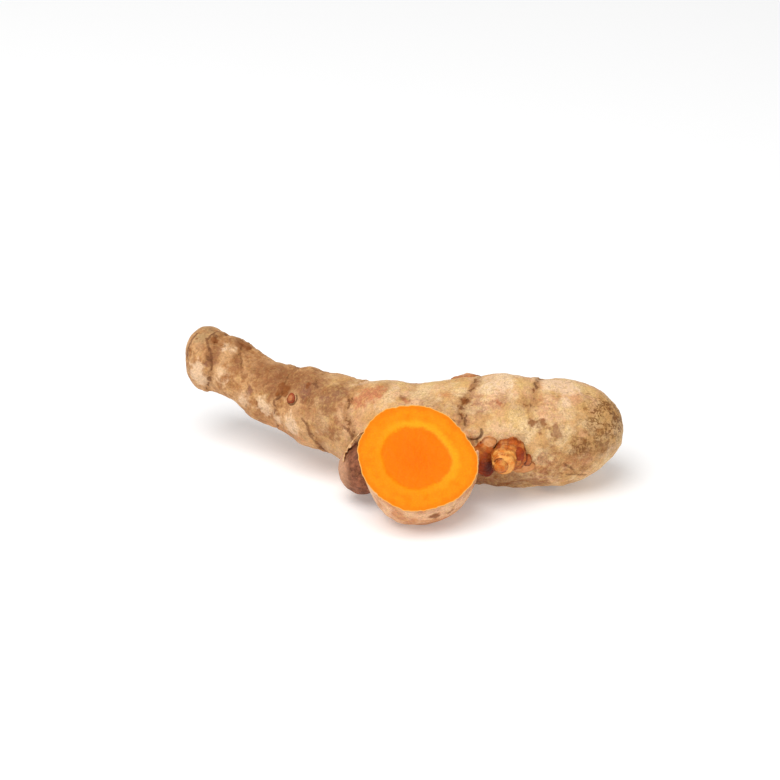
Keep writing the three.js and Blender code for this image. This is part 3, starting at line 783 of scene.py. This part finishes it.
# The grain of the skin, which shades its colour and roughens it.
shade = strengthened(tree, fibres, 0.93, 1.06)
grain_shade = strengthened(tree, grains, 0.82, 1.16)
colour = mixed(tree, 1.0, colour, times(tree, shade, grain_shade), "MULTIPLY")
tree.links.new(colour, sockets["Base Color"])
tree.links.new(strengthened(tree, small_clouds, 0.50, 0.72), sockets["Roughness"])
height = maths(tree, "ADD", times(tree, grains, 0.5), times(tree, fibres, 0.5))
height = maths(tree, "SUBTRACT", height, times(tree, ring_line, 0.8))
bumps = node(tree, "Bump", 0, Strength=0.7, Distance=0.14 * MM, Height=height)
tree.links.new(bumps, sockets["Normal"])
sockets["Specular IOR Level"].default_value = 0.2
rhizome.data.materials.append(skin)

# The flesh that the cut shows: deep orange in the core, a brighter yellow ring round it, then orange again up
# to the thin pale line of the peel. It is moist and finely grained. Each part begins at a share of the way out.
RING_STARTS, RING_ENDS, OUTER_EDGE, PEEL_STARTS = (0.545, 0.625), (0.66, 0.76), (0.86, 0.97), (0.980, 0.994)
CORE_ORANGE, CORE_AMBER = paint(255, 116, 4), paint(255, 124, 6)
RING_AMBER, RING_GOLD = paint(255, 146, 14), paint(255, 164, 24)
OUTER_AMBER, STREAK_ORANGE = paint(255, 144, 14), paint(250, 126, 6)
EDGE_ORANGE, PEEL_CREAM = paint(252, 124, 8), paint(240, 178, 90)

flesh, tree, sockets = finish("turmeric_flesh", 0.42)
mm = places_in_mm(tree)
clouds = speckle(tree, mm, 2.4, 2.0)
granules = speckle(tree, mm, 0.34, 2.0, 0.6)
turn_x, turn_y = [node(tree, "SeparateXYZ", i, Vector=kept(tree, "face_turn", "Vector")) for i in range(2)]
wobble = times(tree, maths(tree, "SUBTRACT", clouds, 0.5), 0.09)
fine_wobble = times(tree, maths(tree, "SUBTRACT", granules, 0.5), 0.03)
out = maths(tree, "ADD", maths(tree, "ADD", kept(tree, "from_core"), wobble), fine_wobble)
colour = mixed(tree, between(tree, out, 0.0, 0.56), CORE_ORANGE, CORE_AMBER)
glow = between(tree, maths(tree, "SUBTRACT", turn_x, turn_y), -1.2, 1.2)
ring_yellow = mixed(tree, glow, RING_AMBER, RING_GOLD)
colour = mixed(tree, between(tree, out, *RING_STARTS), colour, ring_yellow)
colour = mixed(tree, between(tree, out, *RING_ENDS), colour, OUTER_AMBER)
streaky = times(tree, between(tree, clouds, 0.46, 0.66), between(tree, out, 0.66, 0.80))
colour = laid(tree, colour, streaky, 0.5, STREAK_ORANGE)
colour = laid(tree, colour, between(tree, out, *OUTER_EDGE), 0.6, EDGE_ORANGE)
colour = mixed(tree, 1.0, colour, strengthened(tree, granules, 0.87, 1.07), "MULTIPLY")
colour = mixed(tree, between(tree, kept(tree, "from_core"), *PEEL_STARTS), colour, PEEL_CREAM)
tree.links.new(colour, sockets["Base Color"])
tree.links.new(node(tree, "Bump", 0, Strength=0.5, Distance=0.1 * MM, Height=granules), sockets["Normal"])
sockets["Specular IOR Level"].default_value = 0.06
sockets["Subsurface Weight"].default_value = 0.12
sockets["Subsurface Scale"].default_value = 0.001
sockets["Subsurface Radius"].default_value = (1.0, 0.4, 0.1)
rhizome.data.materials.append(flesh)
for face in rhizome.data.polygons:
    face.material_index = int(all(in_face[i] for i in face.vertices))
bpy.ops.object.shade_smooth_by_angle(angle=math.radians(55))
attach(rhizome, "root")
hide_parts("turmeric_rhizome")


# The buds that stand on the body: cones of overlapping scale leaves, orange-red and moist where young, with
# dried dark edges and painted shade in the gaps between them. A big one is in front, one lies low on the back,
# and one is slim and asleep. Each is a fine sheet laid on the skin, raised scale by scale, with its border
# closed under the skin.

# A scale: centre along and round from the bud's middle, half sizes, height, and how domed, red and papery.
BUD_SCALES = {
    "front": [
        ((4.6, -2.4), (3.1, 2.1), 0.5, 0.3, 0.3, 0.6),
        ((-3.9, -0.8), (2.9, 4.7), 1.3, 0.5, 0.95, 0.0),
        ((5.8, -0.8), (1.1, 1.4), 1.2, 0.4, 0.75, 0.1),
        ((-2.8, 3.3), (1.9, 1.35), 0.95, 0.2, 0.2, 0.8),
        ((1.9, 0.5), (3.7, 3.8), 1.8, 0.3, 0.65, 0.0),
        ((3.6, 0.9), (1.6, 2.2), 2.1, 0.4, 0.95, 0.0),
        ((1.1, 0.2), (3.3, 3.2), 2.3, 0.3, 0.4, 0.0),
        ((1.0, -2.5), (1.1, 1.5), 2.5, 0.3, 0.9, 0.0),
        ((0.4, 0.0), (3.0, 2.7), 3.0, 0.25, 0.05, 0.0),
        ((0.3, -0.75), (2.8, 2.6), 3.6, 0.18, 0.0, 0.1),
        ((-0.35, -0.85), (1.75, 1.65), 4.5, 0.22, 0.35, 0.0),
    ],
    "back": [
        ((0.0, 0.0), (3.8, 3.2), 0.9, 0.4, 0.2, 0.9),
        ((0.4, 0.3), (2.7, 2.3), 1.4, 0.4, 0.2, 0.9),
        ((0.6, 0.5), (1.6, 1.3), 1.9, 0.5, 0.1, 0.8),
    ],
    "slim": [
        ((0.0, 0.0), (1.3, 1.35), 0.5, 0.4, 1.0, 0.1),
        ((0.05, -0.15), (0.85, 0.85), 0.8, 0.5, 0.75, 0.3),
    ],
}
# A bud's sheet: half its length, half its width, and the size of its squares.
BUD_SHEET = {"front": (8.3, 6.4, 0.10), "back": (4.2, 3.8, 0.12), "slim": (1.8, 2.0, 0.08)}
BARE_DEPTH = 0.9  # how far under the skin the sheet lies where no scale lifts it
BORDER_DEPTH = 1.7  # how far under the skin its closed border lies


def on_skin(s, turn, rise):
    """Points above the body's smooth skin, at a distance, an angle and a rise, and the way out there."""
    centre = along_line(s, body_distances, body_points)
    right, top = right_and_top(along_line(s, body_distances, body_forward))
    ray = np.sin(np.radians(turn))[:, None] * right + np.cos(np.radians(turn))[:, None] * top
    return centre + ray * (np.interp(s, body_distances, body_thickness) + rise)[:, None], ray


LEAF_AMBER, LEAF_ORANGE = paint(255, 184, 94), paint(238, 134, 44)
LEAF_RED, VEIN_RED = paint(156, 52, 10), paint(118, 38, 8)
DRY_TAN, DRY_CREAM = paint(200, 130, 82), paint(230, 176, 124)
DRIED_EDGE, GAP_SHADE_BROWN = paint(112, 34, 8), paint(84, 24, 6)

bud_skin, tree, sockets = finish("bud_scale_leaf", 0.38)
mm = places_in_mm(tree)
redness, edge, gap_shade, paper = split(tree, "scale_tones")
veins = speckle(tree, kept(tree, "scale_way", "Vector"), 1.0, 3.0, 0.6)
clouds = speckle(tree, mm, 1.3, 3.0, 0.6)
colour = mixed(tree, between(tree, clouds, 0.36, 0.64), LEAF_AMBER, LEAF_ORANGE)
colour = mixed(tree, redness, colour, LEAF_RED)
vein_strength = maths(tree, "ADD", 0.12, times(tree, redness, 0.5))
vein_share = times(tree, between(tree, veins, 0.44, 0.64), vein_strength)
colour = mixed(tree, vein_share, colour, VEIN_RED)
colour = mixed(tree, paper, colour, mixed(tree, between(tree, clouds, 0.36, 0.64), DRY_TAN, DRY_CREAM))
ragged_edge = times(tree, edge, between(tree, clouds, 0.30, 0.60))
colour = laid(tree, colour, ragged_edge, 0.9, DRIED_EDGE)
# Painted shade in the gaps between scales and in the hollow by the cut finger.
colour = laid(tree, colour, gap_shade, between(tree, clouds, 0.20, 0.48), GAP_SHADE_BROWN)
tree.links.new(colour, sockets["Base Color"])
tree.links.new(node(tree, "Bump", 0, Strength=0.5, Distance=0.1 * MM, Height=veins), sockets["Normal"])
sockets["Specular IOR Level"].default_value = 0.22

for name, scales in BUD_SCALES.items():
    half_long, half_round, step = BUD_SHEET[name]
    bpy.ops.object.select_all(action="DESELECT")
    bpy.ops.mesh.primitive_grid_add(
        x_subdivisions=round(2 * half_long / step), y_subdivisions=round(2 * half_round / step), size=2 * MM
    )
    bud = bpy.context.active_object
    bud.name = name + "_bud"
    bpy.ops.object.mode_set(mode="EDIT")
    bpy.ops.mesh.select_all(action="DESELECT")
    bpy.ops.mesh.select_non_manifold()
    bpy.ops.mesh.extrude_region_move(TRANSFORM_OT_translate={"value": (0, 0, -1 * MM)})
    bpy.ops.mesh.edge_face_add()
    bpy.ops.object.mode_set(mode="OBJECT")
    sheet = read_points(bud) / MM
    under = sheet[:, 2] < -0.5
    u, v = sheet[:, 0] * half_long, sheet[:, 1] * half_round
    flat_place = np.stack([u, v, 0 * u], 1)
    wave = 0.05 * ripple(flat_place, 1.6, 31) + 0.03 * ripple(flat_place, 0.6, 32)
    height = np.full(len(u), -BARE_DEPTH)
    redness = np.full(len(u), 0.6)
    edge, gap_shade, paper = np.zeros((3, len(u)))
    warp_u = 0.18 * ripple(flat_place, 2.0, 34) + 0.06 * ripple(flat_place, 0.8, 35)
    warp_v = 0.18 * ripple(flat_place, 2.0, 36) + 0.06 * ripple(flat_place, 0.8, 37)
    for (cu, cv), (ru, rv), top_height, dome, red, papery in scales:
        loose = 1.0 if top_height < 2.2 else 0.45
        share = np.hypot((u + loose * warp_u - cu) / ru, (v + loose * warp_v - cv) / rv) + loose * wave
        own = top_height * (1 - dome * share**2) + 0.03 * ripple(flat_place * (1.5, 1.5, 1), 1.0, 33)
        own += 0.035 * np.sin(share * min(ru, rv) * 2 * math.pi / 0.6)
        soft = 0.09 / min(ru, rv)
        inside = np.clip((1 - share) / soft, 0, 1) * (own > height)
        dry_flap = name == "front" and papery > 0.7
        rim_width = 0.55 if dry_flap else 0.42 / min(ru, rv)
        deep = 0.35 if 2.0 < top_height < 4.5 else 1.0
        # Just outside a scale's rim, painted shade in the gap beneath it.
        gap = np.exp(-(np.clip(share - 1, 0, 9) * min(ru, rv) / (0.2 + 0.03 * top_height)) ** 2)
        gap_shade = np.maximum(gap_shade * (1 - inside), deep * gap * (share > 1) * (own > height))
        edge = edge * (1 - inside) + inside * np.clip((share - 1 + rim_width) / rim_width, 0, 1) ** 1.5
        redness = redness * (1 - inside) + inside * red
        paper = paper * (1 - inside) + inside * papery
        height += inside * (own - height)
    # Left of the front bud's cone, its low leaves make a hollow beside the cut finger, with painted shade in
    # it.
    if name == "front":
        cup = np.exp(-(((u + 2.4) / 1.0) ** 2 + ((v + 1.2) / 2.2) ** 2))
        height -= 0.7 * cup * (height < 2.4)
        cup_shade = np.exp(-(((u + 3.0) / 1.3) ** 2 + ((v + 2.6) / 2.3) ** 2))
        gap_shade = np.maximum(gap_shade, 1.1 * cup_shade * (height < 2.4))
        redness -= 0.35 * np.clip((v + 1.5) / 4, 0, 1) * (height < 1.4) * (u < -1)
    at = BUDS[name][0]
    ground, ray = on_skin(at[0] + u, at[1] - v / mm_per_degree(at[0]), np.full(len(u), bud_level[name]))
    up = on_skin(np.array([at[0]]), np.array([at[1]]), np.zeros(1))[1][0]
    lean = np.clip(height / 1.5, 0, 1)[:, None]
    way = lean * up + (1 - lean) * ray
    height = np.where(under, -BORDER_DEPTH, height)
    move_points(bud, ground + way * height[:, None])
    store(bud, "scale_tones", "FLOAT_COLOR", np.stack([redness, edge, gap_shade, paper], 1))
    turn_now = np.arctan2(v + 0.9, u + 0.3)
    spread = np.hypot(u + 0.3, v + 0.9)
    ringed = np.clip((height - 2.2) / 0.4, 0, 1)
    around, outwards = 6 - 4.6 * ringed, 0.35 + 2.2 * ringed
    way_now = np.stack([around * np.cos(turn_now), around * np.sin(turn_now), spread * outwards], 1)
    store(bud, "scale_way", "FLOAT_VECTOR", way_now)
    bpy.ops.object.mode_set(mode="EDIT")
    bpy.ops.mesh.select_all(action="SELECT")
    bpy.ops.mesh.normals_make_consistent(inside=False)
    bpy.ops.object.mode_set(mode="OBJECT")
    bud.data.materials.append(bud_skin)
    bpy.ops.object.shade_smooth_by_angle(angle=math.radians(50))
    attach(bud, "root")
    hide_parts("turmeric_rhizome")


# The papery collar where the lobe comes out: what is left of a dry leaf base, thin as tissue, torn along its
# free edge. It is a strip between two lines over the skin, lifted at that edge, then given its thickness.
COLLAR_LINE = [
    (-13.1, -12.4, 10.9), (-12.9, -11.8, 11.5), (-12.6, -10.9, 12.0), (-12.2, -9.8, 12.5),
    (-11.6, -8.7, 13.0), (-11.0, -8.2, 13.6), (-10.2, -8.0, 14.4), (-9.3, -7.8, 15.2), (-8.1, -7.8, 16.3),
]
INNER_LINE = [
    (-12.6, -13.2, 11.0), (-12.1, -13.0, 11.9), (-11.7, -12.6, 12.4), (-11.2, -11.8, 12.9),
    (-10.7, -10.8, 13.4), (-10.2, -9.8, 13.8), (-9.5, -9.3, 14.6), (-8.7, -9.0, 15.5), (-7.9, -8.8, 16.5),
]
SPANS = len(COLLAR_LINE) - 1
TISSUE = 0.16 * MM
AWAY_FROM_LOBE = np.array((-0.55, -0.45, 0.70))
PAPER_TAN, PAPER_CREAM = paint(196, 140, 88), paint(232, 190, 140)

bpy.ops.object.select_all(action="DESELECT")
bpy.ops.mesh.primitive_grid_add(x_subdivisions=120, y_subdivisions=12, size=2 * MM)
collar = bpy.context.active_object
collar.name = "papery_collar"
sheet = read_points(collar) / MM
run, width = (sheet[:, 0] + 1) * SPANS / 2, (sheet[:, 1] + 1) / 2
outer_edge = along_line(run, range(SPANS + 1), np.array(COLLAR_LINE))
inner_edge = along_line(run, range(SPANS + 1), np.array(INNER_LINE))
lay = np.stack([run, 0 * run, 0 * run], 1)
width = width * (0.8 + 0.25 * ripple(lay, 0.9, 51))
strip = outer_edge * (1 - width[:, None]) + inner_edge * width[:, None]
lifted = 0.15 + 0.75 * np.sin(np.clip(width, 0, 1) * math.pi * 0.75) + 0.12 * ripple(strip, 1.1, 52)
strip += (lifted * np.clip(np.minimum(run, SPANS - run) + 0.2, 0, 1))[:, None] * AWAY_FROM_LOBE
move_points(collar, strip)
tissue = collar.modifiers.new("Tissue", "SOLIDIFY")
tissue.thickness = TISSUE
tissue.offset = 0
bpy.ops.object.modifier_apply(modifier=tissue.name)
paper_skin, tree, sockets = finish("dry_leaf_paper", 0.6)
mm = places_in_mm(tree)
clouds = speckle(tree, mm, 0.8, 3.0, 0.6)
colour = mixed(tree, between(tree, clouds, 0.38, 0.62), PAPER_TAN, PAPER_CREAM)
tree.links.new(colour, sockets["Base Color"])
sockets["Specular IOR Level"].default_value = 0.2
collar.data.materials.append(paper_skin)
bpy.ops.object.shade_smooth_by_angle(angle=math.radians(50))
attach(collar, "root")
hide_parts("turmeric_rhizome")


# The stage: a plain white floor under soft studio light. A white surround fills the shadows, one large lamp
# hangs at the upper left, and the camera looks from in front and a little above.
TARGET = Vector((-0.00255, -0.000235, 0.0228))
DISTANCE = 0.75
ELEVATION = math.radians(25)
FIELD = 0.1755  # width of what the camera sees, at the target
SENSOR = 36.0
WHITE = (1.0, 1.0, 1.0, 1.0)

bpy.ops.mesh.primitive_plane_add(size=6.0, location=(0, 0, 0))
floor = bpy.context.active_object
floor.name = "studio_floor"
floor_finish, tree, sockets = finish("white_floor", 0.8)
sockets["Base Color"].default_value = paint(240, 240, 240)
sockets["Emission Color"].default_value = WHITE
sockets["Emission Strength"].default_value = 0.2
floor.data.materials.append(floor_finish)

world = bpy.data.worlds.new("soft_white_surround")
bpy.context.scene.world = world
world.use_nodes = True
world.node_tree.nodes["Background"].inputs["Color"].default_value = WHITE
world.node_tree.nodes["Background"].inputs["Strength"].default_value = 0.45

bpy.ops.object.light_add(type="AREA", location=(-0.25, -0.35, 0.9))
lamp = bpy.context.active_object
lamp.name = "large_soft_lamp"
lamp.data.size = 0.8
lamp.data.energy = 8.5
lamp.rotation_euler = (Vector((0, 0, 0)) - lamp.location).to_track_quat("-Z", "Y").to_euler()

back = Vector((0, -math.cos(ELEVATION), math.sin(ELEVATION)))
bpy.ops.object.camera_add(location=TARGET + DISTANCE * back)
camera = bpy.context.active_object
camera.name = "camera"
camera.rotation_euler = (-back).to_track_quat("-Z", "Y").to_euler()
camera.data.sensor_width = SENSOR
camera.data.lens = SENSOR * DISTANCE / FIELD
camera.data.clip_start = 0.01
bpy.context.scene.camera = camera
bpy.context.scene.view_settings.view_transform = "Standard"
